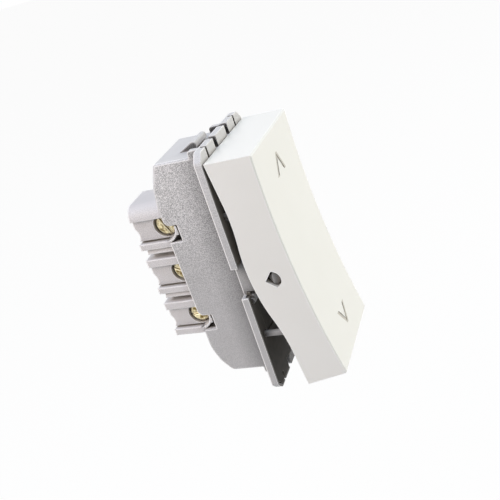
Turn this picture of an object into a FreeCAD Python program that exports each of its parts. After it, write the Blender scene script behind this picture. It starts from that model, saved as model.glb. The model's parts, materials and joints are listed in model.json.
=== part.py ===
import FreeCAD, Part
import math
import os

os.makedirs("parts", exist_ok=True)

# One-module two-way rocker switch, in millimetres.
# +Z is up, the rocker faces -Y, and the wires come in from +Y.
# The origin is the centre of the flange's rear face, where the module seats on its grid plate.

# Module: the pitch of the three terminal cells and what stands round them set the height
flange_width = 22.2
cell_pitch = 9.25
end_room = 9.525
flange_height = 3 * cell_pitch + 2 * end_room
half_flange = flange_width / 2
half_height = flange_height / 2

# Flange
flange_thickness = 1.3
flange_corner = 1.5
flange_corner_round = 1.0
rim_width = 0.35
tray_depth = 0.7
tray_top_land = 2.4
tab_slot_width = 1.4
tab_slot_place = 3.05
tab_slot_depth = 2.0
thin_slot_width = 0.6
thin_slot_place = half_flange - 3.75
thin_slot_floor = -0.3
front_ledge = 0.8

# Ears that carry the rocker, just inside its side walls
rocker_side_gap = 0.1
rocker_width = flange_width - 2 * rocker_side_gap
rocker_side_wall = 1.2
ear_side_gap = 0.35
ear_place = rocker_width / 2 - rocker_side_wall - ear_side_gap
ear_thickness = 1.2
ear_back = ear_place - ear_thickness
ear_top = 3.15
ear_foot = 2.4
ear_nose_radius = 2.3
ear_gusset = 0.5
side_notch = 5.9
boss_reach = 1.05
boss_slope = 1.1
post_radius = 0.6
post_place = ear_place - 0.55
post_spread = 11.7
post_length = 5.4
nub_radius = 0.55
nub_drop = 4.3
nub_depth = 1.25
nub_reach = 0.35

# Housing shell: each shoulder corner is a distance from the rear, a distance from the end and a radius
housing_top = half_height - 1.7
housing_bottom = 2.3 - half_height
housing_depth = 11.8
housing_wall = 1.0
shoulder_depth = 2.8
cavity_depth = housing_depth - shoulder_depth
end_wall = 1.1
top_shoulder = [(2.3, 0.0, 0.7), (0.6, -4.0, 9.0), (0.0, -7.5, 9.0)]
bottom_shoulder = [(-0.25, 5.5, 6.0), (0.75, 2.4, 5.0), (2.5, 0.0, 1.1)]
notch_height = 3.05
notch_depth = 2.5
notch_below_screw = 1.25
wall_edge_chamfer = 0.3
tongue_radius = 1.1
latch_width = 5.2
latch_height = 1.4
latch_front = 2.45
latch_run = 3.4
latch_leaf = 0.55
latch_head_depth = 0.8
latch_nose = 0.45
lug_width = 1.0
lug_depth = 2.8
lug_height = 1.1

# Terminal base
base_beyond = 6.8
base_rear = housing_depth + base_beyond
dome_rise = 4.2
dome_radius = 2.4
base_floor = 0.9
base_foot = 4.1
screw_height = cell_pitch + 0.9
screw_depth = housing_depth + 0.6
pocket_sink = 0.7
pocket_above = 1.7
pocket_below = 2.4
slot_height = 0.4
slot_sink = 1.6
collar_wall = 0.35
collar_block = 1.5
collar_front_gap = 0.3
rib_foot = 4.0
band_rise = 3.2
groove_gap = cell_pitch - rib_foot - band_rise
groove_slope_top = 0.6
groove_slope_foot = 0.1
groove_slot = 0.55 * groove_gap
groove_deep = 2.0
rear_groove = 0.9
rear_scallop = 0.45
rear_scallop_radius = 2.0
wire_radius = 1.3
wire_mouth_radius = 1.95
wire_mouth_depth = 0.7

# Terminal screws and rising cages
head_recess_radius = 2.3
head_radius = 2.05
head_height = 1.1
head_chamfer = 0.4
head_sink = 0.1
head_slot_width = 0.6
head_slot_depth = 0.5
ledge = 0.5
shank_radius = 1.3
cage_wall = 0.8
cage_side = 0.7
cage_length = 4.4
cage_height = 5.4
cage_bore = 3.7
cage_travel = 1.0
bar_thickness = 1.0
bar_room = 0.45
bar_width = 3.6
bar_seat = 0.6
far_wall = 1.15

# Contacts
fulcrum_room = 2.1
fulcrum_radius = 0.6
fulcrum_width = 4.2
seesaw_tilt = 8.4
seesaw_reach = 9.6
seesaw_width = 3.6
seesaw_thickness = 0.8
seesaw_offset = 1.3
cheek_thickness = 0.65
cheek_radius = 1.25
contact_reach = 8.2
moving_tip_radius = 1.3
moving_tip_height = 0.7
fixed_tip_radius = 1.5
fixed_tip_height = 0.6
contact_gap = 0.08
arm_thickness = 0.8

# Rocker
pivot_depth = -6.58
pivot_height = 0.0
rocker_tilt = 7.0
rocker_end_gap = 1.25
rocker_rear_half = half_height - rocker_end_gap
rocker_front_half = rocker_rear_half - 0.9
rocker_front = 5.66
rocker_rear = 2.3
rocker_dish = 1.2
rocker_hump = 1.55
hump_half = 15.0
rocker_face_wall = 1.5
rocker_edge = 0.25
hole_radius = 1.6
hole_point = 1.25
barrel_radius = 2.6
barrel_reach = 4.2
rib_thickness = 1.0
rib_place = 9.0
rib_reach = 0.4
mark_depth = 0.15
mark_apex = 17.2
mark_foot = 14.05
mark_half = 1.9
mark_stroke = 0.55

# Plunger and its spring
plunger_radius = 1.5
plunger_back = 0.5
shank_taper = 1.6
tip_radius = 1.0
tip_length = 1.0
tip_flat = 0.25
tip_clearance = 0.15
spring_radius = 1.1
spring_wire = 0.2
spring_turns = 4.0
plunger_window = 2.4
plunger_window_half = 3.2

# Clearances, and how far a cut starts and ends beyond the solid it cuts
overreach = 1.0
fit_gap = 0.1
snug_gap = 0.05
running_gap = 0.08
boss_gap = 0.25
plate_gap = 0.15

# Places that follow from the sizes above: what a terminal stacks up sets the width of base and housing
head_room = pocket_sink + head_sink + head_height + snug_gap + ledge
cage_room = cage_travel + 2 * cage_wall + cage_bore + 3 * fit_gap
half_base = (head_room + cage_room + far_wall) / 2
base_outside = half_base + overreach
half_cavity = half_base + fit_gap
half_housing = half_cavity + housing_wall
cavity_top = housing_top - end_wall
cavity_bottom = housing_bottom + end_wall
screw_heights = [screw_height - cell * cell_pitch for cell in range(3)]
base_top = screw_height + dome_rise
base_bottom = screw_heights[-1] - base_foot
base_front = cavity_depth - base_floor
pocket_face = -half_base + pocket_sink
head_face = pocket_face + head_sink
ledge_front = head_face + head_height + snug_gap
chamber_near = ledge_front + ledge
cage_near = chamber_near + cage_travel + 2 * fit_gap
cage_far = cage_near + 2 * cage_wall + cage_bore
bar_place = cage_near + cage_wall + bar_room
wire_place = (bar_place + bar_thickness + cage_far - cage_wall) / 2
fulcrum_depth = base_front - fulcrum_room
tray_floor = -flange_thickness + tray_depth
seesaw_front = -(seesaw_offset + seesaw_thickness)
plunger_nose = fulcrum_depth + seesaw_front - tip_clearance - pivot_depth


def box(x0, x1, y0, y1, z0, z1):
    corner = FreeCAD.Vector(min(x0, x1), min(y0, y1), min(z0, z1))
    return Part.makeBox(abs(x1 - x0), abs(y1 - y0), abs(z1 - z0), corner)


def rod(start, axis, radius, length):
    return Part.makeCylinder(radius, length, FreeCAD.Vector(*start), FreeCAD.Vector(*axis))


def side_profile(corners, x0, x1):
    """Solid from an outline in the Y-Z plane, each corner a (y, z, radius), between x0 and x1."""
    edges = []
    count = len(corners)
    ends = []
    for i in range(count):
        before = FreeCAD.Vector(x0, *corners[i - 1][:2])
        here = FreeCAD.Vector(x0, *corners[i][:2])
        after = FreeCAD.Vector(x0, *corners[(i + 1) % count][:2])
        radius = corners[i][2]
        if radius == 0:
            ends.append((here, here))
            continue
        back = (before - here).normalize()
        on = (after - here).normalize()
        half = back.getAngle(on) / 2
        reach = radius / math.tan(half)
        middle = here + (back + on).normalize() * (radius / math.sin(half) - radius)
        start = here + back * reach
        end = here + on * reach
        edges.append(Part.Arc(start, middle, end).toShape())
        ends.append((start, end))
    for i in range(count):
        start = ends[i][1]
        end = ends[(i + 1) % count][0]
        if (end - start).Length > 1e-6:
            edges.append(Part.makeLine(start, end))
    wire = Part.Wire(Part.__sortEdges__(edges))
    return Part.Face(wire).extrude(FreeCAD.Vector(x1 - x0, 0, 0))


def tilted(shape, degrees, y=0.0, z=0.0):
    """Turn a shape about the X direction through (y, z)."""
    turned = shape.copy()
    turned.rotate(FreeCAD.Vector(0, y, z), FreeCAD.Vector(1, 0, 0), degrees)
    return turned


def mirrored_x(shape):
    return shape.mirror(FreeCAD.Vector(0, 0, 0), FreeCAD.Vector(1, 0, 0))


def mirrored_z(shape):
    return shape.mirror(FreeCAD.Vector(0, 0, 0), FreeCAD.Vector(0, 0, 1))


def joined(shapes):
    whole = shapes[0].fuse(shapes[1:]) if len(shapes) > 1 else shapes[0]
    return whole.removeSplitter()


def save(name, shape):
    solids = shape.Solids
    solid = solids[0] if len(solids) == 1 else shape
    solid.exportStep("parts/" + name + ".step")


# Flange: plate with slotted ends, a tray for the inner plate, and the front wall of the housing
def flange_outline(inset, y0, y1):
    """Plate with cut corners, lying in the X-Z plane, inset all round."""
    x = half_flange - inset
    z = half_height - inset
    cut = flange_corner
    points = [(x - cut, z), (x, z - cut), (x, cut - z), (x - cut, -z)]
    points += [(-px, pz) for px, pz in reversed(points)]
    wire = Part.makePolygon([FreeCAD.Vector(px, y0, pz) for px, pz in points + points[:1]])
    plate = Part.Face(wire).extrude(FreeCAD.Vector(0, y1 - y0, 0))
    upright = [edge for edge in plate.Edges if edge.BoundBox.YLength > abs(y1 - y0) / 2]
    return plate.makeFillet(flange_corner_round, upright)


def slotted_end():
    """Cuts at the top end of the flange: two open slots beside the middle tab, and two blind lines."""
    foot = half_height - tab_slot_depth
    cuts = []
    for side in (-1, 1):
        place = side * tab_slot_place
        half = tab_slot_width / 2
        cuts.append(box(place - half, place + half, -flange_thickness, 0, foot, half_height + overreach))
        place = side * thin_slot_place
        half = thin_slot_width / 2
        cuts.append(box(place - half, place + half, -flange_thickness, thin_slot_floor,
                        foot, half_height + overreach))
    return cuts


def flange():
    plate = flange_outline(0, -flange_thickness, 0)
    tray = box(rim_width - half_flange, half_flange - rim_width, -flange_thickness, tray_floor,
               rim_width - half_height, half_height - tray_top_land)
    tray = tray.common(flange_outline(rim_width, -flange_thickness, tray_floor))
    tab = tab_slot_place - tab_slot_width / 2
    tray = tray.cut(box(-tab, tab, -flange_thickness, tray_floor,
                        -half_height, tab_slot_depth - half_height))
    opening = box(front_ledge - half_cavity, half_cavity - front_ledge, -flange_thickness, 0,
                  cavity_bottom + front_ledge, cavity_top - front_ledge)
    half = side_notch / 2
    notch = box(ear_place, half_flange + overreach, -flange_thickness, 0,
                pivot_height - half, pivot_height + half)
    cuts = [tray, opening, notch, mirrored_x(notch)]
    cuts += slotted_end() + [mirrored_z(cut) for cut in slotted_end()]
    return plate.cut(cuts)


# Ears, posts and pins: what stands on the flange to carry and guide the rocker
def boss_outline(radius, point, x0, x1):
    """Round in front, pointed behind: the shape of the boss and of its hole, about the pivot."""
    disc = rod((x0, 0, 0), (1, 0, 0), radius, x1 - x0)
    corners = [(-radius, radius + point, 0), (point, 0, 0), (-radius, -radius - point, 0)]
    slope = side_profile(corners, x0, x1)
    return disc.common(slope)


def boss():
    """Boss on the ear, its end falling away to both sides of a ridge."""
    end = ear_place + boss_reach
    outline = boss_outline(hole_radius - boss_gap, hole_point - boss_gap * math.sqrt(2), ear_back, end)
    low = end - boss_slope
    ridge = [(ear_back, -hole_radius), (low, -hole_radius), (end, 0), (low, hole_radius),
             (ear_back, hole_radius)]
    wire = Part.makePolygon([FreeCAD.Vector(x, y, -hole_radius) for x, y in ridge + ridge[:1]])
    roof = Part.Face(wire).extrude(FreeCAD.Vector(0, 0, 2 * hole_radius))
    shaped = outline.common(roof)
    shaped.translate(FreeCAD.Vector(0, pivot_depth, pivot_height))
    return shaped


def ear():
    """The right-hand ear: an upright with a round nose about the pivot, and its boss."""
    nose = rod((ear_back, pivot_depth, pivot_height), (1, 0, 0), ear_nose_radius, ear_thickness)
    waist = pivot_depth + ear_nose_radius / 2
    spread = ear_nose_radius * math.cos(math.radians(30))
    upright = side_profile([
        (0, pivot_height - ear_foot, 0),
        (0, pivot_height + ear_top, 0),
        (-flange_thickness - ear_gusset, pivot_height + ear_top, ear_gusset),
        (waist, pivot_height + spread, 0),
        (pivot_depth, pivot_height, 0),
        (waist, pivot_height - spread, 0),
        (-flange_thickness - ear_gusset, pivot_height - ear_foot, ear_gusset)], ear_back, ear_place)
    return joined([upright, nose, boss()])


def guide_pin():
    """Short pin under the ear, with a small block above it."""
    middle = pivot_height - nub_drop
    pin = rod((ear_back, -nub_depth, middle), (1, 0, 0), nub_radius, ear_thickness + nub_reach)
    block = box(ear_back, ear_place, tray_floor, -nub_depth - nub_radius,
                middle + nub_radius, middle + 2 * nub_radius)
    foot = box(ear_back, ear_place, tray_floor, -nub_depth, middle - nub_radius, middle + nub_radius)
    return joined([pin, block, foot])


# Housing: moulded shell behind the flange, its rear outline showing the terminals
def housing_side(x0, x1):
    """The wall seen from the side: curved shoulders, a tongue over the screws, a notch above and below."""
    rear = housing_depth
    floor = rear - notch_depth
    half = notch_height / 2
    upper = screw_heights[0] - notch_below_screw
    lower = screw_heights[-1] - notch_below_screw
    corners = [(0, housing_top, 0)]
    corners += [(rear - y, housing_top + z, radius) for y, z, radius in top_shoulder]
    corners += [(rear, upper + half, tongue_radius), (floor, upper + half, 0)]
    corners += [(floor, upper - half, 0), (rear, upper - half, 0.15)]
    corners += [(rear, lower + half, tongue_radius), (floor, lower + half, 0)]
    corners += [(floor, lower - half, 0), (rear + 0.25, lower - half, 0.15)]
    corners += [(rear - y, housing_bottom + z, radius) for y, z, radius in bottom_shoulder]
    corners += [(0, housing_bottom, 0)]
    return side_profile(corners, x0, x1)


def base_section(gap, y0, y1):
    """Section of the terminal base, flat-sided with a domed top, grown by a gap."""
    x = half_base + gap
    top = base_top + gap
    low = base_bottom - gap
    rise = top - dome_radius
    corner = dome_radius * (1 - math.sqrt(0.5))

    def point(px, pz):
        return FreeCAD.Vector(px, y0, pz)

    edges = [
        Part.Arc(point(-x, rise), point(corner - x, top - corner), point(dome_radius - x, top)).toShape(),
        Part.makeLine(point(dome_radius - x, top), point(x - dome_radius, top)),
        Part.Arc(point(x - dome_radius, top), point(x - corner, top - corner), point(x, rise)).toShape(),
        Part.makeLine(point(x, rise), point(x, low)),
        Part.makeLine(point(x, low), point(-x, low)),
        Part.makeLine(point(-x, low), point(-x, rise))]
    return Part.Face(Part.Wire(edges)).extrude(FreeCAD.Vector(0, y1 - y0, 0))


def grid_latch(end):
    """Sprung leaf with a round nose on an end wall, undercut so that it can bend behind the grid plate."""
    crest = end + latch_height
    rear = latch_front + latch_head_depth
    under = crest - 2 * latch_leaf
    return side_profile([
        (latch_front, under, 0.15),
        (latch_front, crest, latch_nose),
        (rear, crest, 0.25),
        (latch_front + latch_run, end, 0),
        (latch_front + latch_run, end - 0.2, 0),
        (latch_front + latch_run - 2 * latch_leaf, end - 0.2, 0),
        (rear, under, 0)], -latch_width / 2, latch_width / 2)


def corner_lug(end):
    return side_profile([
        (0, end - 0.2, 0),
        (0, end + lug_height, 0),
        (lug_depth, end + lug_height, lug_height * 0.45),
        (lug_depth, end - 0.2, 0)], half_housing - lug_width, half_housing)


def housing():
    shell = housing_side(-half_housing, half_housing)
    rims = []
    for edge in shell.Edges:
        bounds = edge.BoundBox
        above = bounds.ZMin > housing_top + top_shoulder[-1][1] - 1
        at_end = above or bounds.ZMax < housing_bottom + bottom_shoulder[0][1] + 1
        if bounds.XLength < 1e-6 and bounds.YMax > 1 and at_end:
            rims.append(edge)
    shell = shell.makeChamfer(wall_edge_chamfer, rims)
    cavity = box(-half_cavity, half_cavity, 0, cavity_depth, cavity_bottom, cavity_top)
    opening = base_section(fit_gap, 0, housing_depth + overreach)
    shell = shell.cut([cavity, opening])
    pieces = [flange(), shell]
    for latch in (grid_latch(housing_top), mirrored_z(grid_latch(-housing_bottom))):
        pieces.append(latch)
    for lug in (corner_lug(housing_top), mirrored_z(corner_lug(-housing_bottom))):
        pieces += [lug, mirrored_x(lug)]
    for detail in (ear(), guide_pin()):
        pieces += [detail, mirrored_x(detail)]
    for x in (-post_place, post_place):
        for z in (pivot_height - post_spread, pivot_height + post_spread):
            pieces.append(rod((x, tray_floor, z), (0, -1, 0), post_radius, post_length))
    return joined(pieces)


# Inner plate: black insulating plate that lies in the tray and closes the mechanism off
def inner_plate():
    front = snug_gap - flange_thickness
    plate = flange_outline(rim_width + plate_gap, front, tray_floor)
    top = half_height - tray_top_land - plate_gap
    plate = plate.common(box(-half_flange, half_flange, front, tray_floor, -half_height, top))
    cuts = [box(-plunger_window, plunger_window, front, tray_floor,
                pivot_height - plunger_window_half, pivot_height + plunger_window_half)]
    tab = tab_slot_place + tab_slot_width / 2
    cuts.append(box(-tab, tab, front, tray_floor, -half_height, tab_slot_depth + plate_gap - half_height))
    sunk = ear_back - 2 * plate_gap
    spread = post_spread + post_place - ear_back
    cuts.append(box(-sunk, sunk, front, front + plate_gap, pivot_height - spread, pivot_height + spread))
    for side in (-1, 1):
        inner = side * (ear_back - plate_gap)
        edge = side * half_flange
        cuts.append(box(inner, edge, front, tray_floor,
                        pivot_height - ear_foot - plate_gap, pivot_height + ear_top + plate_gap))
        cuts.append(box(side * (ear_place + plate_gap), edge, front, tray_floor,
                        pivot_height - side_notch / 2 - plate_gap, pivot_height + ear_top + plate_gap))
        middle = pivot_height - nub_drop
        cuts.append(box(inner, side * (ear_place + nub_reach + plate_gap), front, tray_floor,
                        middle - nub_radius - plate_gap, middle + 2 * nub_radius + plate_gap))
        for z in (pivot_height - post_spread, pivot_height + post_spread):
            hole = rod((side * post_place, tray_floor, z), (0, -1, 0), post_radius + plate_gap, tray_depth)
            cuts.append(hole)
        half = thin_slot_width / 2
        place = side * thin_slot_place
        cuts.append(box(place - half, place + half, front, tray_floor,
                        -half_height, tab_slot_depth - half_height))
    return plate.cut(cuts).removeSplitter()


# Terminal base: three cells with screw pockets on the near side and wire entries behind
def cell_pocket(height):
    """Sunk face around one screw, open to the rear and rounded about the screw in front."""
    face = box(-base_outside, pocket_face, screw_depth, base_rear + overreach,
               height - pocket_below, height + pocket_above)
    front = rod((-base_outside, screw_depth, height), (1, 0, 0), pocket_below, overreach + pocket_sink)
    front = front.common(box(-base_outside, pocket_face, screw_depth - pocket_below, screw_depth,
                             height - pocket_below, height + pocket_above))
    return face.fuse(front)


def cell_slot(height):
    """Deep slot along the foot of the pocket."""
    foot = height - pocket_below
    return box(-base_outside, slot_sink - half_base, screw_depth - pocket_below * 0.3,
               base_rear + overreach, foot - slot_height, foot)


def collar_shape(height, x0, x1):
    """Thin wall that curves round the front of a pocket and ends in a block, seen from the side."""
    front = housing_depth - notch_depth + collar_front_gap
    ring = rod((x0, screw_depth, height), (1, 0, 0), pocket_below + collar_wall, x1 - x0)
    block = box(x0, x1, front, screw_depth, height - collar_block, height)
    window = height - notch_below_screw
    half = notch_height / 2 - fit_gap
    around = box(x0, x1, front, screw_depth, window - half, window + half)
    hollow = rod((x0, screw_depth, height), (1, 0, 0), pocket_below, x1 - x0)
    return ring.fuse(block).common(around).cut(hollow)


def collar(height):
    """Collar that fills the housing's notch as far as the outside of its wall."""
    return collar_shape(height, -half_housing + fit_gap, -half_base + slot_sink)


def collar_pit(height):
    """Deep pit round the outside of a collar."""
    near = -half_base + slot_sink
    pit = box(-base_outside, near, base_front, screw_depth - pocket_below / 2,
              height - pocket_below - 2 * slot_height, height + notch_height / 2)
    inner = rod((-base_outside, screw_depth, height), (1, 0, 0), pocket_below + collar_wall,
                overreach + slot_sink)
    return pit.cut(inner).cut(collar_shape(height, -base_outside, near))


def cell_groove(height):
    """Groove below a cell on both sides: a lit slope, then a deep slot; a plain step across the rear."""
    top = height - rib_foot
    foot = top - groove_gap
    step = foot + groove_slot
    slope = Part.Face(Part.makePolygon([FreeCAD.Vector(x, cavity_depth, z) for x, z in (
        (-base_outside, top), (groove_slope_top - half_base, top), (groove_slope_foot - half_base, step),
        (groove_deep - half_base, step), (groove_deep - half_base, foot), (-base_outside, foot),
        (-base_outside, top))]))
    near = slope.extrude(FreeCAD.Vector(0, base_rear, 0))
    rear = box(-base_outside, base_outside, base_rear - rear_groove, base_rear + overreach, foot, top)
    return [near, mirrored_x(near), rear]


def terminal_base():
    block = base_section(0, base_front, base_rear)
    floor = box(-half_base, half_base, base_front, cavity_depth,
                cavity_bottom + fit_gap, cavity_top - fit_gap)
    notched = (screw_heights[0], screw_heights[-1])
    solid = block.fuse(floor).cut([collar_pit(height) for height in notched])
    solid = solid.fuse([collar(height) for height in notched])
    cuts = []
    for cell, height in enumerate(screw_heights):
        cuts.append(cell_pocket(height))
        cuts.append(cell_slot(height))
        if cell < len(screw_heights) - 1:
            cuts += cell_groove(height)
        mouth = (pocket_face, screw_depth, height)
        cuts.append(rod(mouth, (1, 0, 0), head_recess_radius, ledge_front - pocket_face))
        cuts.append(rod(mouth, (1, 0, 0), shank_radius + 2 * fit_gap, half_base))
        half = cage_height / 2 + fit_gap
        far = cage_far + fit_gap
        rear = screw_depth + cage_length / 2 + fit_gap
        cuts.append(box(chamber_near, far, base_front, rear, height - half, height + half))
        half = bar_width / 2 + snug_gap
        cuts.append(box(bar_place - snug_gap, bar_place + bar_thickness + snug_gap,
                        base_front, rear + bar_seat, height - half, height + half))
        cuts.append(rod((wire_place, rear, height), (0, 1, 0), wire_radius, base_rear - rear))
        funnel = FreeCAD.Vector(wire_place, base_rear - wire_mouth_depth, height)
        flare = Part.makeCone(wire_radius, wire_mouth_radius, wire_mouth_depth, funnel,
                              FreeCAD.Vector(0, 1, 0))
        cuts.append(flare)
        hollow = base_rear - rear_scallop + rear_scallop_radius
        cuts.append(rod((-base_outside, hollow, height - pocket_below / 2), (1, 0, 0), rear_scallop_radius,
                        1 + pocket_sink + head_height))
    return solid.cut(cuts).removeSplitter()


# Screws and cages: each screw turns in place and draws its cage towards its head
def terminal_screw(height):
    head = rod((head_face, screw_depth, height), (1, 0, 0), head_radius, head_height)
    rim = [edge for edge in head.Edges if edge.BoundBox.XMax < head_face + 0.01]
    head = head.makeChamfer(head_chamfer, rim)
    shank = rod((head_face, screw_depth, height), (1, 0, 0), shank_radius, bar_place - fit_gap - head_face)
    reach = head_radius + overreach
    half = head_slot_width / 2
    slot = box(head_face - overreach, head_face + head_slot_depth, screw_depth - reach, screw_depth + reach,
               height - half, height + half)
    slot.rotate(FreeCAD.Vector(0, screw_depth, height), FreeCAD.Vector(1, 0, 0), 25 + 4 * height)
    return joined([head, shank]).cut(slot)


def terminal_cage(height):
    half_y = cage_length / 2
    half_z = cage_height / 2
    outer = box(cage_near, cage_far, screw_depth - half_y, screw_depth + half_y,
                height - half_z, height + half_z)
    inner = box(cage_near + cage_wall, cage_far - cage_wall, 0, base_rear,
                height - half_z + cage_side, height + half_z - cage_side)
    hole = rod((cage_near - overreach, screw_depth, height), (1, 0, 0), shank_radius + snug_gap,
               overreach + 2 * cage_wall)
    return outer.cut([inner, hole])


# Fixed contacts: a bar through each cage, with an arm and tip or with the fulcrum in front
def terminal_bar(height, front):
    rear = screw_depth + cage_length / 2 + fit_gap + bar_seat - snug_gap
    half = bar_width / 2
    return box(bar_place, bar_place + bar_thickness, front, rear, height - half, height + half)


def contact_frame(shape, side):
    """Lay a shape drawn about the fulcrum at the tilt where the see-saw closes on that side."""
    placed = tilted(shape, -side * seesaw_tilt)
    placed.translate(FreeCAD.Vector(0, fulcrum_depth, pivot_height))
    return placed


def fixed_contact(side, height):
    """Arm behind a fixed tip, long enough to meet the bar of its own terminal."""
    face = contact_gap + moving_tip_height - seesaw_offset + fixed_tip_height
    half = fixed_tip_radius + 0.4
    tilt = math.radians(seesaw_tilt)
    reach = max(contact_reach + half, abs(height - pivot_height) / math.cos(tilt))
    arm = box(-seesaw_width / 2, seesaw_width / 2, face, face + arm_thickness,
              side * (contact_reach - half), side * reach)
    front = fulcrum_depth + reach * math.sin(tilt) + face * math.cos(tilt)
    return joined([contact_frame(arm, side), terminal_bar(height, front)])


def fixed_tip(side):
    face = contact_gap + moving_tip_height - seesaw_offset
    disc = rod((0, face, side * contact_reach), (0, 1, 0), fixed_tip_radius, fixed_tip_height)
    return contact_frame(disc, side)


def common_contact():
    pin = rod((-fulcrum_width / 2, fulcrum_depth, pivot_height), (1, 0, 0), fulcrum_radius, fulcrum_width)
    web = box(bar_place, bar_place + bar_thickness, fulcrum_depth, base_front + 0.5,
              pivot_height - fulcrum_radius, pivot_height + fulcrum_radius)
    return joined([pin, web, terminal_bar(screw_heights[1], base_front)])


# Moving contact: see-saw on the fulcrum pin, closed at the bottom while the rocker's top is in
def moving_contact():
    blade = box(-seesaw_width / 2, seesaw_width / 2, seesaw_front, -seesaw_offset,
                -seesaw_reach, seesaw_reach)
    corners = [edge for edge in blade.Edges if edge.BoundBox.YLength > seesaw_thickness / 2]
    blade = blade.makeFillet(seesaw_thickness, corners)
    outer = seesaw_width / 2
    cheek = side_profile([
        (-seesaw_offset, -cheek_radius, 0),
        (0, -cheek_radius, 0),
        (0, cheek_radius, 0),
        (-seesaw_offset, cheek_radius, 0)], outer - cheek_thickness, outer)
    eye = rod((outer - cheek_thickness, 0, 0), (1, 0, 0), cheek_radius, cheek_thickness)
    hole = rod((outer - overreach, 0, 0), (1, 0, 0), fulcrum_radius + snug_gap, 2 * overreach)
    cheek = joined([cheek, eye]).cut(hole)
    return contact_frame(joined([blade, cheek, mirrored_x(cheek)]), -1)


def moving_tip(side):
    disc = rod((0, -seesaw_offset, side * contact_reach), (0, 1, 0), moving_tip_radius, moving_tip_height)
    return contact_frame(disc, -1)


# Rocker: dished white cap on the ears, drawn level about its pivot and then tipped
def on_pivot(shape):
    placed = tilted(shape, -rocker_tilt)
    placed.translate(FreeCAD.Vector(0, pivot_depth, pivot_height))
    return placed


def rocker_outline(inset_face, inset_end, x0, x1, open_rear):
    """Side outline: dished face, tapered ends and the hump that covers the ears."""
    front = -rocker_front + inset_face
    middle = -rocker_front + rocker_dish + inset_face
    front_half = rocker_front_half - inset_end
    rear_half = rocker_rear_half - inset_end
    rear = rocker_rear + open_rear
    crest = rocker_rear + rocker_hump + open_rear
    bend = hump_half / 2
    lift = rocker_hump / 2
    quarter = lift / 4

    def point(y, z):
        return FreeCAD.Vector(x0, y, z)

    edges = [
        Part.Arc(point(front, -front_half), point(middle, 0), point(front, front_half)).toShape(),
        Part.makeLine(point(front, front_half), point(rear, rear_half)),
        Part.makeLine(point(rear, rear_half), point(rear, hump_half)),
        Part.Arc(point(rear, hump_half), point(rear + quarter, hump_half - bend / 2),
                 point(rear + lift, bend)).toShape(),
        Part.Arc(point(rear + lift, bend), point(crest, 0), point(rear + lift, -bend)).toShape(),
        Part.Arc(point(rear + lift, -bend), point(rear + quarter, bend / 2 - hump_half),
                 point(rear, -hump_half)).toShape(),
        Part.makeLine(point(rear, -hump_half), point(rear, -rear_half)),
        Part.makeLine(point(rear, -rear_half), point(front, -front_half))]
    return Part.Face(Part.Wire(edges)).extrude(FreeCAD.Vector(x1 - x0, 0, 0))


def chevron():
    """Arrow-shaped bar pointing to the top end, reaching through the face."""
    inner_apex = mark_apex - mark_stroke * math.sqrt(2)
    lean = mark_stroke / math.sqrt(2)
    points = [(0, mark_apex), (mark_half, mark_foot), (mark_half - lean, mark_foot - lean / 2),
              (0, inner_apex), (lean - mark_half, mark_foot - lean / 2), (-mark_half, mark_foot)]
    wire = Part.makePolygon([FreeCAD.Vector(x, -2 * rocker_front, z) for x, z in points + points[:1]])
    return Part.Face(wire).extrude(FreeCAD.Vector(0, 2 * rocker_front, 0))


def rocker():
    half = rocker_width / 2
    inner = half - rocker_side_wall
    cap = rocker_outline(0, 0, -half, half, 0)
    rounded = [edge for edge in cap.Edges if edge.BoundBox.YMax < -rocker_front + rocker_dish + 0.01]
    cap = cap.makeChamfer(rocker_edge, rounded)
    hollow = rocker_outline(rocker_face_wall, rocker_side_wall, -inner, inner, 2.0)
    shell = cap.cut(hollow)
    ceiling = rocker_dish + rocker_face_wall - rocker_front
    barrel = rod((0, ceiling - 0.5, 0), (0, 1, 0), barrel_radius, barrel_reach + 0.5 - ceiling)
    ribs = []
    for side in (-1, 1):
        place = side * rib_place
        low = ceiling - overreach
        ribs.append(box(-inner, inner, low, rib_reach,
                        place - rib_thickness / 2, place + rib_thickness / 2))
        spine = side * (rib_place + rib_thickness / 2)
        ribs.append(box(-rib_thickness / 2, rib_thickness / 2, low, rib_reach, 0, spine))
    whole = joined([shell, barrel] + ribs)
    bore = rod((0, ceiling, 0), (0, 1, 0), plunger_radius + running_gap, barrel_reach + overreach - ceiling)
    hole = boss_outline(hole_radius, hole_point, -half - overreach, half + overreach)
    side_holes = hole.cut(box(-inner, inner, -rocker_front, rocker_front, -rocker_front, rocker_front))
    core = rocker_outline(mark_depth, 0, -half, half, 0)
    mark = chevron().cut(core)
    return on_pivot(whole.cut([bore, side_holes, mark, mirrored_z(mark)]))


# Plunger: spring-loaded pin in the rocker's barrel that tips the see-saw
def plunger():
    shank_end = plunger_nose - tip_length - shank_taper
    outline = [(0, plunger_back), (plunger_radius, plunger_back), (plunger_radius, shank_end),
               (tip_radius, plunger_nose - tip_length), (tip_flat, plunger_nose), (0, plunger_nose)]
    points = [FreeCAD.Vector(radius, y, 0) for radius, y in outline]
    section = Part.Face(Part.makePolygon(points + points[:1]))
    return on_pivot(section.revolve(FreeCAD.Vector(0, 0, 0), FreeCAD.Vector(0, 1, 0), 360))


def plunger_spring():
    start = rocker_dish + rocker_face_wall - rocker_front + spring_wire + snug_gap
    length = plunger_back - spring_wire - snug_gap - start
    helix = Part.makeHelix(length / spring_turns, length, spring_radius)
    corners = [math.radians(90 * i) for i in range(5)]
    section = Part.makePolygon([FreeCAD.Vector(
        spring_radius + spring_wire * math.cos(turn), 0, spring_wire * math.sin(turn)) for turn in corners])
    coil = Part.Wire(helix).makePipeShell([section], True, True)
    coil.rotate(FreeCAD.Vector(0, 0, 0), FreeCAD.Vector(1, 0, 0), -90)
    coil.translate(FreeCAD.Vector(0, start, 0))
    return on_pivot(coil)


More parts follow.
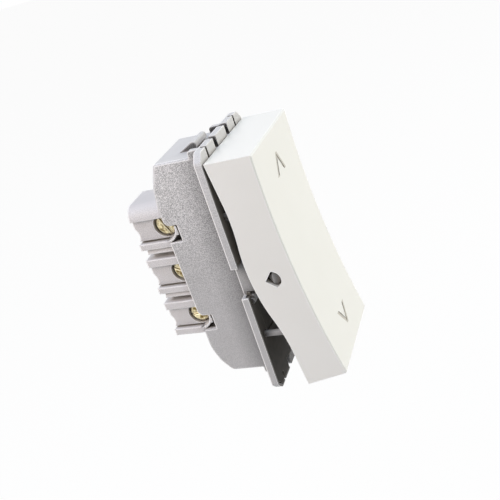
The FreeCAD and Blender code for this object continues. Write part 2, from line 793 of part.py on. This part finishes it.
save("housing", housing())
save("inner_plate", inner_plate())
save("terminal_base", terminal_base())
cells = ("top", "middle", "bottom")
for cell, height in zip(cells, screw_heights):
    save("terminal_screw_" + cell, terminal_screw(height))
    save("terminal_cage_" + cell, terminal_cage(height))
save("common_contact", common_contact())
save("fixed_contact_top", fixed_contact(1, screw_heights[0]))
save("fixed_contact_bottom", fixed_contact(-1, screw_heights[-1]))
save("fixed_tip_top", fixed_tip(1))
save("fixed_tip_bottom", fixed_tip(-1))
save("moving_contact", moving_contact())
save("moving_tip_top", moving_tip(1))
save("moving_tip_bottom", moving_tip(-1))
save("rocker", rocker())
save("plunger", plunger())
save("plunger_spring", plunger_spring())
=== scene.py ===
import bmesh
import bpy
import json
import math
from mathutils import Matrix, Vector


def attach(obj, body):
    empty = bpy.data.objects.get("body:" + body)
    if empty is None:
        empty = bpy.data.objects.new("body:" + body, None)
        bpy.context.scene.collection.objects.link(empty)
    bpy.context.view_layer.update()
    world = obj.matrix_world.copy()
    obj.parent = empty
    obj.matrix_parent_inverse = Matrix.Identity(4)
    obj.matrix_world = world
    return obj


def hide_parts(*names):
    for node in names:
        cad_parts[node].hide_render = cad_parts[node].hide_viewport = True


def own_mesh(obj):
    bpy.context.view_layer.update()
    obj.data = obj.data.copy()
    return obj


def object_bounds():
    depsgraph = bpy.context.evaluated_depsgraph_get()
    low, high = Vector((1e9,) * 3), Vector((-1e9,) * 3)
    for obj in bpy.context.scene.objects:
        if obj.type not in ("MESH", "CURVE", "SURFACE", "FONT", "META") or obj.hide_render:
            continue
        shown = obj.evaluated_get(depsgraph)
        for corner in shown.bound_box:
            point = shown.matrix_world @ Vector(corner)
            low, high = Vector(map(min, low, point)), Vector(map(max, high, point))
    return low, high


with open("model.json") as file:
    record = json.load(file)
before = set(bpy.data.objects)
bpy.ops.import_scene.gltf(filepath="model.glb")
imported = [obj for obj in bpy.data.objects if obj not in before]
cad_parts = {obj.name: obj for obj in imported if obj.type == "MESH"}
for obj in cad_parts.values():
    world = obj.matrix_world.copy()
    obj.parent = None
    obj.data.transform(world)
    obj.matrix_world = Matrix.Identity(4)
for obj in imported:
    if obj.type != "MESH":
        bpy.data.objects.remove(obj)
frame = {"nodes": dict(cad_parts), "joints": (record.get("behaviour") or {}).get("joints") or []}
solid_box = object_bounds()

# Housing: flange, ears, posts and shell in one injection moulding of grey polycarbonate.
# The eroded mould leaves a sparkling grain on its sides, drawn coarser than the real 0.1 mm to show.
# Its thin edges carry a painted highlight; its corners, its recessed side faces and the front behind the
# rocker carry painted brown shade.
grain_size = 0.00013
grain_depth = 0.00004
wave_size = 0.006
moulded_edge = 0.00045
crevice_reach = 0.0014
recess_reach = 0.007
flange_rear = 0.0001
flange_front = -0.00132
plate_level = -0.0011
tray_half = 0.0105
shade_heights = (0.02, 0.016)
grain_heights = (-0.01, 0.012)
fade_heights = (0.002, 0.018)
shade_share = 0.75
flange_smoothness = 0.65
front_openness = 0.7
# Brown colour of the painted shade behind the rocker.
tray_shade = "#4A423A"


def linear(code):
    """sRGB hex to a linear colour."""
    channels = [int(code[i:i + 2], 16) / 255 for i in (1, 3, 5)]
    return [c / 12.92 if c <= 0.04045 else ((c + 0.055) / 1.055) ** 2.4 for c in channels] + [1.0]


def feed(tree, node, inputs):
    """Fill a node's inputs, each with a value, a hex colour or another node's output."""
    for name, value in inputs.items():
        if isinstance(value, bpy.types.NodeSocket):
            tree.links.new(value, node.inputs[name])
        else:
            node.inputs[name].default_value = linear(value) if isinstance(value, str) else value


def add(tree, kind, inputs=None, out=0, **settings):
    """Add a node with its settings and inputs, and give the output asked for, or all if out is None."""
    made = tree.nodes.new(kind)
    for name, value in settings.items():
        setattr(made, name, value)
    feed(tree, made, inputs or {})
    return made.outputs if out is None else made.outputs[out]


def new_material(name):
    """Empty material with its tree, its principled shader and the place on the piece in metres."""
    made = bpy.data.materials.new(name)
    made.use_nodes = True
    shader = made.node_tree.nodes["Principled BSDF"]
    place = add(made.node_tree, "ShaderNodeTexCoord", out="Object")
    return made, made.node_tree, shader, place


def edge_light(tree, radius):
    """How near a point lies to a sharp edge, from 0 to 1, and the normal rounded over it."""
    rounded = add(tree, "ShaderNodeBevel", {"Radius": radius}, samples=8)
    true = add(tree, "ShaderNodeNewGeometry", out="True Normal")
    same = add(tree, "ShaderNodeVectorMath", {0: rounded, 1: true}, out="Value", operation="DOT_PRODUCT")
    near = add(tree, "ShaderNodeMapRange", {"Value": same, "From Min": 0.99, "From Max": 0.92})
    return near, rounded


def openness(tree, reach, dark, clear):
    """0 deep in a gap or corner, 1 on an open face."""
    air = add(tree, "ShaderNodeAmbientOcclusion", {"Distance": reach}, out="AO", samples=12)
    return add(tree, "ShaderNodeMapRange", {"Value": air, "From Min": dark, "From Max": clear})


def eroded_grain(tree, fine, sideways, height, in_front, sparkle):
    """Brightness from the mould's grain: on side faces, strongest high up, weaker on the flange."""
    signed = add(tree, "ShaderNodeMapRange", {"Value": fine, "From Min": 0.35, "From Max": 0.65,
                                              "To Min": -1.0, "To Max": 1.0})
    upper = add(tree, "ShaderNodeMapRange", {"Value": height, "From Min": grain_heights[0],
                                             "From Max": grain_heights[1], "To Min": 0.3})
    smoother = add(tree, "ShaderNodeMath", {0: in_front, 1: -flange_smoothness, 2: 1.0},
                   operation="MULTIPLY_ADD")
    eroded = add(tree, "ShaderNodeMath", {0: sideways, 1: upper}, operation="MULTIPLY")
    eroded = add(tree, "ShaderNodeMath", {0: eroded, 1: smoother}, operation="MULTIPLY")
    eroded = add(tree, "ShaderNodeMath", {0: eroded, 1: sparkle}, operation="MULTIPLY")
    return add(tree, "ShaderNodeMath", {0: signed, 1: eroded, 2: 1.0}, operation="MULTIPLY_ADD")


def kept_brightness(tree, clear, sideways, height, recess_shade, foot_level):
    """Brightness with painted shade on side faces in recesses, and darker towards the moulding's bottom.
    """
    walled = add(tree, "ShaderNodeMath", {0: 1.0, 1: clear}, operation="SUBTRACT")
    # Painted shade on side faces in recesses.
    recess_dimming = add(tree, "ShaderNodeMath", {0: walled, 1: sideways}, operation="MULTIPLY")
    kept = add(tree, "ShaderNodeMath", {0: recess_dimming, 1: -recess_shade, 2: 1.0}, operation="MULTIPLY_ADD")
    fade = add(tree, "ShaderNodeMapRange", {"Value": height, "From Min": fade_heights[0],
                                            "From Max": fade_heights[1], "To Min": foot_level})
    return add(tree, "ShaderNodeMath", {0: kept, 1: fade}, operation="MULTIPLY")


def lit_edges(tree, near, clear, across, depth, below):
    """Light left on the edges: less in recesses, and little on what stands up in the tray."""
    airy = add(tree, "ShaderNodeMath", {0: clear, 1: 0.5}, operation="POWER")
    inward = add(tree, "ShaderNodeMath", {0: across, 1: 0.0, 2: tray_half}, operation="COMPARE")
    proud = add(tree, "ShaderNodeMath", {0: depth, 1: plate_level}, operation="LESS_THAN")
    faded = add(tree, "ShaderNodeMath", {0: proud, 1: inward}, operation="MULTIPLY")
    faded = add(tree, "ShaderNodeMath", {0: faded, 1: below}, operation="MULTIPLY")
    lit = add(tree, "ShaderNodeMath", {0: 1.0, 1: faded}, operation="SUBTRACT")
    near = add(tree, "ShaderNodeMath", {0: near, 1: airy}, operation="MULTIPLY")
    return add(tree, "ShaderNodeMath", {0: near, 1: lit}, operation="MULTIPLY")


def shaded_front(tree, facing, depth, in_front, below):
    """Where brown painted shade lies: on the flange's faces that look forward, but not on what stands
    proud.
    """
    forward = add(tree, "ShaderNodeMapRange", {"Value": facing, "From Min": -0.3, "From Max": -0.75})
    flush = add(tree, "ShaderNodeMath", {0: depth, 1: flange_front}, operation="GREATER_THAN")
    share = add(tree, "ShaderNodeMath", {0: below, 1: in_front}, operation="MULTIPLY")
    share = add(tree, "ShaderNodeMath", {0: share, 1: forward}, operation="MULTIPLY")
    return add(tree, "ShaderNodeMath", {0: share, 1: flush}, operation="MULTIPLY")


def grey_polycarbonate(name, face, shade, edge, crevice_shade, sparkle, recess_shade, foot_level):
    """Moulded polycarbonate: painted edge highlights, painted shade in corners and behind the rocker,
    side grain.
    """
    made, tree, shader, place = new_material(name)
    wave = add(tree, "ShaderNodeTexNoise", {"Vector": place, "Scale": 1 / wave_size, "Detail": 3.0})
    fine = add(tree, "ShaderNodeTexNoise", {"Vector": place, "Scale": 1 / grain_size, "Detail": 0.0})
    across, depth, height = add(tree, "ShaderNodeSeparateXYZ", {0: place}, out=None)
    normal = add(tree, "ShaderNodeNewGeometry", out="True Normal")
    aside, facing, _ = add(tree, "ShaderNodeSeparateXYZ", {0: normal}, out=None)
    sideways = add(tree, "ShaderNodeMath", {0: aside, 1: 2.0}, operation="POWER")
    in_front = add(tree, "ShaderNodeMath", {0: depth, 1: flange_rear}, operation="LESS_THAN")
    below = add(tree, "ShaderNodeMapRange", {"Value": height, "From Min": shade_heights[0],
                                             "From Max": shade_heights[1], "To Max": shade_share})
    clear = openness(tree, recess_reach, 0.45, 1.0)
    grain = eroded_grain(tree, fine, sideways, height, in_front, sparkle)
    kept = kept_brightness(tree, clear, sideways, height, recess_shade, foot_level)
    level = add(tree, "ShaderNodeMath", {0: grain, 1: kept}, operation="MULTIPLY")
    toned = add(tree, "ShaderNodeMix", {0: wave, 6: shade, 7: face}, out=2, data_type="RGBA")
    grained = add(tree, "ShaderNodeVectorMath", {0: toned, "Scale": level}, operation="SCALE")
    near, rounded = edge_light(tree, moulded_edge)
    near = lit_edges(tree, near, clear, across, depth, below)
    # Painted highlight along the moulding's edges.
    highlighted = add(tree, "ShaderNodeMix", {0: near, 6: grained, 7: edge}, out=2, data_type="RGBA")
    # Painted brown shade on the forward faces behind the rocker.
    in_shade = shaded_front(tree, facing, depth, in_front, below)
    shaded = add(tree, "ShaderNodeMix", {0: in_shade, 6: highlighted, 7: tray_shade}, out=2, data_type="RGBA")
    # Painted shade in crevices, held lighter in front of the flange's rear face.
    open_share = add(tree, "ShaderNodeMath", {0: in_front, 1: front_openness}, operation="MULTIPLY")
    open_share = add(tree, "ShaderNodeMath", {0: openness(tree, crevice_reach, 0.1, 0.65), 1: open_share},
                operation="MAXIMUM")
    crevice_shaded = add(tree, "ShaderNodeMix", {0: open_share, 6: crevice_shade, 7: shaded}, out=2, data_type="RGBA")
    bump = add(tree, "ShaderNodeBump", {"Strength": 0.4, "Distance": grain_depth, "Height": fine,
                                        "Normal": rounded})
    feed(tree, shader, {"Base Color": crevice_shaded, "Normal": bump, "Roughness": 0.5, "IOR": 1.5})
    return made


def dress(names, finish):
    """Give CAD nodes their finish in place of the plain one."""
    for name in names:
        mesh = frame["nodes"][name].data
        mesh.materials.clear()
        mesh.materials.append(finish)


dress(["housing"],
      grey_polycarbonate("moulded_grey_polycarbonate", face="#D1CFCF", shade="#C7C5C4", edge="#FFFCFA",
                         crevice_shade="#8F857A", sparkle=0.4, recess_shade=1.0, foot_level=0.82))

# Terminal base: a second moulding in a slightly warmer, paler grey, pressed in from behind.
# Its ribs and grooves keep the three live cells apart.
dress(["terminal_base"],
      grey_polycarbonate("moulded_base_polycarbonate", face="#D9D5D4", shade="#D1CDCC", edge="#FFFCFA",
                         crevice_shade="#A59D92", sparkle=0.15, recess_shade=0.3, foot_level=1.0))

# Inner plate: a thin black phenolic moulding laid in the flange's tray, matt from the mould.
# It closes the contact chamber off from the moving rocker; painted light lightens its upper half, and
# painted shade darkens the rest under the rocker.
dust_speck = 0.0012
plate_edge = 0.00015
lit_heights = (-0.014, 0.002)
black_phenolic, tree, shader, place = new_material("moulded_black_phenolic")
dust = add(tree, "ShaderNodeTexNoise", {"Vector": place, "Scale": 1 / dust_speck, "Detail": 4.0})
near, rounded = edge_light(tree, plate_edge)
height = add(tree, "ShaderNodeSeparateXYZ", {0: place}, out="Z")
upper = add(tree, "ShaderNodeMapRange", {"Value": height, "From Min": lit_heights[0],
                                         "From Max": lit_heights[1]})
shaded_face = add(tree, "ShaderNodeMix", {0: dust, 6: "#35322D", 7: "#4A4641"}, out=2, data_type="RGBA")
lit_face = add(tree, "ShaderNodeMix", {0: dust, 6: "#6A665F", 7: "#7E7A73"}, out=2, data_type="RGBA")
# Painted light on the upper half, painted shade lower down.
face = add(tree, "ShaderNodeMix", {0: upper, 6: shaded_face, 7: lit_face}, out=2, data_type="RGBA")
# Painted highlight on the plate's edges.
edge_lit = add(tree, "ShaderNodeMix", {0: near, 6: face, 7: "#8B867E"}, out=2, data_type="RGBA")
feed(tree, shader, {"Base Color": edge_lit, "Normal": rounded, "Roughness": 0.7, "IOR": 1.3})
dress(["inner_plate"], black_phenolic)

# Terminal screws and cages: turned and pressed brass, with painted highlights on the edges and painted
# shade in the corners.
# The screws stay in the base and draw the cages up on the wire.
turning_mark = 0.00012
turning_depth = 0.00001
film_patch = 0.0007
film_depth = 0.00002
brass_crevice = 0.0005


def worked_brass(name, bright, dull, rough, rim):
    """Worked brass: fine marks round the axis, a speckled dull film, painted pale matt edge highlights,
    painted corner shade.
    """
    made, tree, shader, place = new_material(name)
    # At scale 1 the rings of a wave texture lie about 0.3 m apart.
    marks = add(tree, "ShaderNodeTexWave", {"Vector": place, "Scale": 0.3 / turning_mark,
                                            "Distortion": 6.0, "Detail": 2.0},
                out="Fac", wave_type="RINGS", rings_direction="X")
    film = add(tree, "ShaderNodeTexNoise", {"Vector": place, "Scale": 1 / film_patch, "Detail": 2.0})
    spread = add(tree, "ShaderNodeMapRange", {"Value": film, "From Min": 0.4, "From Max": 0.6})
    near, rounded = edge_light(tree, rim)
    filmed = add(tree, "ShaderNodeMix", {0: spread, 6: dull, 7: bright}, out=2, data_type="RGBA")
    # Painted highlight on the rims.
    highlighted_metal = add(tree, "ShaderNodeMix", {0: near, 6: filmed, 7: "#FFF6D2"}, out=2, data_type="RGBA")
    # Painted shade in the corners.
    clear = openness(tree, brass_crevice, 0.1, 0.6)
    colour = add(tree, "ShaderNodeMix", {0: clear, 6: "#7A6A40", 7: highlighted_metal}, out=2, data_type="RGBA")
    bump = add(tree, "ShaderNodeBump", {"Strength": 0.3, "Distance": film_depth, "Height": film,
                                        "Normal": rounded})
    bump = add(tree, "ShaderNodeBump", {"Strength": 0.2, "Distance": turning_depth, "Height": marks,
                                        "Normal": bump})
    # The painted highlight also makes the edges less metallic.
    edge_metalness = add(tree, "ShaderNodeMapRange", {"Value": near, "To Min": 1.0, "To Max": 0.35})
    feed(tree, shader, {"Base Color": colour, "Normal": bump, "Metallic": edge_metalness, "Roughness": rough})
    return made


cells = ("top", "middle", "bottom")
dress(["terminal_screw_" + cell for cell in cells],
      worked_brass("turned_brass", bright="#ECDFB6", dull="#7A673C", rough=0.3, rim=0.0005))
dress(["terminal_cage_" + cell for cell in cells],
      worked_brass("pressed_brass", bright="#D2B868", dull="#93793A", rough=0.38, rim=0.0001))

# Contacts: brass strip blanked and bent, carrying riveted silver alloy tips that are dull with tarnish.
# The see-saw rocks on the common pin and closes on one tip or the other.
tarnish_patch = 0.0005
dress(["common_contact", "fixed_contact_top", "fixed_contact_bottom", "moving_contact"],
      worked_brass("blanked_brass_strip", bright="#CFA968", dull="#9A7740", rough=0.33, rim=0.0001))
silver, tree, shader, place = new_material("pressed_silver_alloy")
tarnish = add(tree, "ShaderNodeTexNoise", {"Vector": place, "Scale": 1 / tarnish_patch, "Detail": 3.0})
colour = add(tree, "ShaderNodeMix", {0: tarnish, 6: "#B9B4A8", 7: "#E4E2DC"}, out=2, data_type="RGBA")
feed(tree, shader, {"Base Color": colour, "Metallic": 1.0, "Roughness": 0.35})
dress(["fixed_tip_top", "fixed_tip_bottom", "moving_tip_top", "moving_tip_bottom"], silver)

# Plunger: a moulded pin of grey acetal that slides in the rocker's barrel, smooth and faintly clouded.
# Its nose rides on the see-saw and snaps it over.
cloud_size = 0.0015
acetal, tree, shader, place = new_material("moulded_grey_acetal")
cloud = add(tree, "ShaderNodeTexNoise", {"Vector": place, "Scale": 1 / cloud_size, "Detail": 2.0})
colour = add(tree, "ShaderNodeMix", {0: cloud, 6: "#9C9B98", 7: "#B0AFAC"}, out=2, data_type="RGBA")
feed(tree, shader, {"Base Color": colour, "Roughness": 0.3})
dress(["plunger"], acetal)

# Plunger spring: a coil of round drawn steel wire, closed at both ends, between the barrel and the pin.
# It leans with the rocker; the real coil shortens as the pin slides in, but this one keeps its rest
# length.
pivot = next(Vector(joint["pos_m"]) for joint in frame["joints"] if joint["name"] == "rocker_pivot")
rest_lean = math.radians(7)
coil_radius = 0.0011
wire_radius = 0.0002
coil_turns = 4
coil_start = -0.00271
coil_length = 0.00296
end_closing = 0.6
turn_steps = 24
wire_sides = 10
drawing_mark = 0.0003
spring_steel, tree, shader, place = new_material("drawn_spring_steel")
drawn = add(tree, "ShaderNodeTexNoise", {"Vector": place, "Scale": 1 / drawing_mark, "Detail": 2.0})
colour = add(tree, "ShaderNodeMix", {0: drawn, 6: "#8B8C8E", 7: "#BFC0C2"}, out=2, data_type="RGBA")
feed(tree, shader, {"Base Color": colour, "Metallic": 1.0, "Roughness": 0.28})
leaned = Matrix.Translation(pivot) @ Matrix.Rotation(-rest_lean, 4, "X")
wire = bmesh.new()
rings = []
for step in range(turn_steps * coil_turns + 1):
    share = step / (turn_steps * coil_turns)
    turn = math.tau * coil_turns * share
    rise = coil_start + coil_length * (share - end_closing * math.sin(math.tau * share) / math.tau)
    ring = []
    for side in range(wire_sides):
        angle = math.tau * side / wire_sides
        reach = coil_radius + wire_radius * math.cos(angle)
        lift = rise + wire_radius * math.sin(angle)
        spot = Vector((reach * math.cos(turn), lift, reach * math.sin(turn)))
        ring.append(wire.verts.new(leaned @ spot))
    rings.append(ring)
for low, high in zip(rings, rings[1:]):
    for side in range(wire_sides):
        after = (side + 1) % wire_sides
        wire.faces.new((low[side], low[after], high[after], high[side])).smooth = True
wire.faces.new(rings[0])
wire.faces.new(rings[-1])
bmesh.ops.recalc_face_normals(wire, faces=wire.faces)
coil = bpy.data.meshes.new("coiled_spring")
wire.to_mesh(coil)
wire.free()
coil.materials.append(spring_steel)
spring = bpy.data.objects.new("coiled_spring", coil)
bpy.context.collection.objects.link(spring)
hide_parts("plunger_spring")
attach(spring, "rocker")
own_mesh(spring)

# Rocker: white urea, pressed in a polished mould, with a satin face.
# Its edges carry a painted highlight and its crevices painted shade, and its two pressed arrow marks hold
# a taupe ink.
stroke_slope = 1.66
stroke_middle = 0.01724
stroke_half = 0.0008
mark_middle = 0.01562
mark_half = 0.00182
face_depth = -0.0085
drift_size = 0.012
satin_size = 0.0003
satin_depth = 0.00001
rocker_edge = 0.0003
rocker_crevice = 0.0015
light_depth = 0.001
white_urea, tree, shader, place = new_material("moulded_white_urea")
drift = add(tree, "ShaderNodeTexNoise", {"Vector": place, "Scale": 1 / drift_size, "Detail": 2.0})
satin = add(tree, "ShaderNodeTexNoise", {"Vector": place, "Scale": 1 / satin_size, "Detail": 2.0})
near = edge_light(tree, rocker_edge)[0]
white = add(tree, "ShaderNodeMix", {0: drift, 6: "#ECEAE4", 7: "#F0EEE9"}, out=2, data_type="RGBA")
# Painted highlight on the edges.
edge_highlighted = add(tree, "ShaderNodeMix", {0: near, 6: white, 7: "#FFFEFC"}, out=2, data_type="RGBA")
# Painted shade in the rocker's crevices.
clear = openness(tree, rocker_crevice, 0.15, 0.6)
shade_in_creases = add(tree, "ShaderNodeMix", {0: clear, 6: "#8F8A83", 7: edge_highlighted}, out=2, data_type="RGBA")
upright = add(tree, "ShaderNodeVectorRotate", {"Vector": place, "Center": pivot, "Angle": rest_lean},
              rotation_type="X_AXIS")
across, depth, height = add(tree, "ShaderNodeSeparateXYZ", {0: upright}, out=None)
across = add(tree, "ShaderNodeMath", {0: across}, operation="ABSOLUTE")
along = add(tree, "ShaderNodeMath", {0: height}, operation="ABSOLUTE")
slanted = add(tree, "ShaderNodeMath", {0: across, 1: stroke_slope, 2: along}, operation="MULTIPLY_ADD")
in_stroke = add(tree, "ShaderNodeMath", {0: slanted, 1: stroke_middle, 2: stroke_half},
                operation="COMPARE")
in_mark = add(tree, "ShaderNodeMath", {0: along, 1: mark_middle, 2: mark_half}, operation="COMPARE")
on_face = add(tree, "ShaderNodeMath", {0: depth, 1: face_depth}, operation="LESS_THAN")
inked = add(tree, "ShaderNodeMath", {0: in_stroke, 1: in_mark}, operation="MULTIPLY")
inked = add(tree, "ShaderNodeMath", {0: inked, 1: on_face}, operation="MULTIPLY")
marked = add(tree, "ShaderNodeMix", {0: inked, 6: shade_in_creases, 7: "#C6C0B6"}, out=2, data_type="RGBA")
bump = add(tree, "ShaderNodeBump", {"Strength": 0.08, "Distance": satin_depth, "Height": satin})
feed(tree, shader, {"Base Color": marked, "Normal": bump, "Roughness": 0.34, "IOR": 1.55,
                    "Subsurface Weight": 0.05, "Subsurface Radius": [light_depth] * 3})
dress(["rocker"], white_urea)

# Studio: a white paper floor well below the part, a white surround and three softboxes.
# The top one is cool, the left one warm, and the one in front, to the right, leaves the near side dim.
floor_drop = 0.07
floor_half = 3.0
paper_veil = 0.95
surround_light = 0.25


def looked_at(tree):
    """1 for what the camera sees, also in or through another face, and 0 for what lights the part."""
    ray = add(tree, "ShaderNodeLightPath", out=None)
    seen = add(tree, "ShaderNodeMath", {0: ray["Is Camera Ray"], 1: ray["Is Glossy Ray"]},
               operation="MAXIMUM")
    return add(tree, "ShaderNodeMath", {0: seen, 1: ray["Is Transmission Ray"]}, operation="MAXIMUM")


paper = bpy.data.materials.new("white_paper_floor")
paper.use_nodes = True
tree = paper.node_tree
shader = tree.nodes["Principled BSDF"]
feed(tree, shader, {"Base Color": "#EDEDED", "Roughness": 0.9})
veil = add(tree, "ShaderNodeMath", {0: looked_at(tree), 1: paper_veil}, operation="MULTIPLY")
glow = add(tree, "ShaderNodeEmission", {"Color": "#FFFFFF", "Strength": 1.0})
mixed = add(tree, "ShaderNodeMixShader", {0: veil, 1: shader.outputs[0], 2: glow})
feed(tree, tree.nodes["Material Output"], {"Surface": mixed})
sheet = bmesh.new()
bmesh.ops.create_grid(sheet, x_segments=1, y_segments=1, size=floor_half)
floor_mesh = bpy.data.meshes.new("studio_floor")
sheet.to_mesh(floor_mesh)
sheet.free()
floor_mesh.materials.append(paper)
floor = bpy.data.objects.new("studio_floor", floor_mesh)
floor.location = (0, 0, solid_box[0][2] - floor_drop)
bpy.context.collection.objects.link(floor)

surround = bpy.data.worlds.new("white_studio")
surround.use_nodes = True
tree = surround.node_tree
level = add(tree, "ShaderNodeMapRange", {"Value": looked_at(tree), "To Min": surround_light,
                                         "To Max": 1.0})
feed(tree, tree.nodes["Background"], {"Color": "#FFFFFF", "Strength": level})
bpy.context.scene.world = surround


def softbox(name, place, size, power, tint):
    """Square area light aimed at the part."""
    lamp = bpy.data.lights.new(name, "AREA")
    lamp.size = size
    lamp.energy = power
    lamp.color = linear(tint)[:3]
    made = bpy.data.objects.new(name, lamp)
    made.location = place
    made.rotation_euler = (-Vector(place)).to_track_quat("-Z", "Y").to_euler()
    bpy.context.collection.objects.link(made)


softbox("top", (-0.08, 0.12, 0.55), size=0.45, power=1.78, tint="#D4E6FF")
softbox("left", (-0.15, 0.11, 0.12), size=0.14, power=0.262, tint="#FFF4EF")
softbox("front", (0.24, -0.52, 0.25), size=0.35, power=2.55, tint="#FFFFF6")

# Camera: to the left, a little in front and above, rolled as the photograph is.
# The rows of its turn give the world's X, Y and Z in the camera's own axes.
lens_place = (-0.1134418, -0.0506479, 0.0552221)
lens_turn = Matrix(((0.2275034, 0.5550104, -0.8001285),
                    (-0.9360004, -0.1020074, -0.3368941),
                    (-0.2685989, 0.8255652, 0.4962830)))
lens = bpy.data.cameras.new("camera")
lens.lens = 53.405
lens.sensor_width = 36.0
lens.shift_x = -0.081412
lens.shift_y = 0.14144
lens.clip_start = 0.005
camera = bpy.data.objects.new("camera", lens)
camera.matrix_world = Matrix.Translation(lens_place) @ lens_turn.to_4x4()
bpy.context.collection.objects.link(camera)
bpy.context.scene.camera = camera
bpy.context.scene.view_settings.view_transform = "Standard"
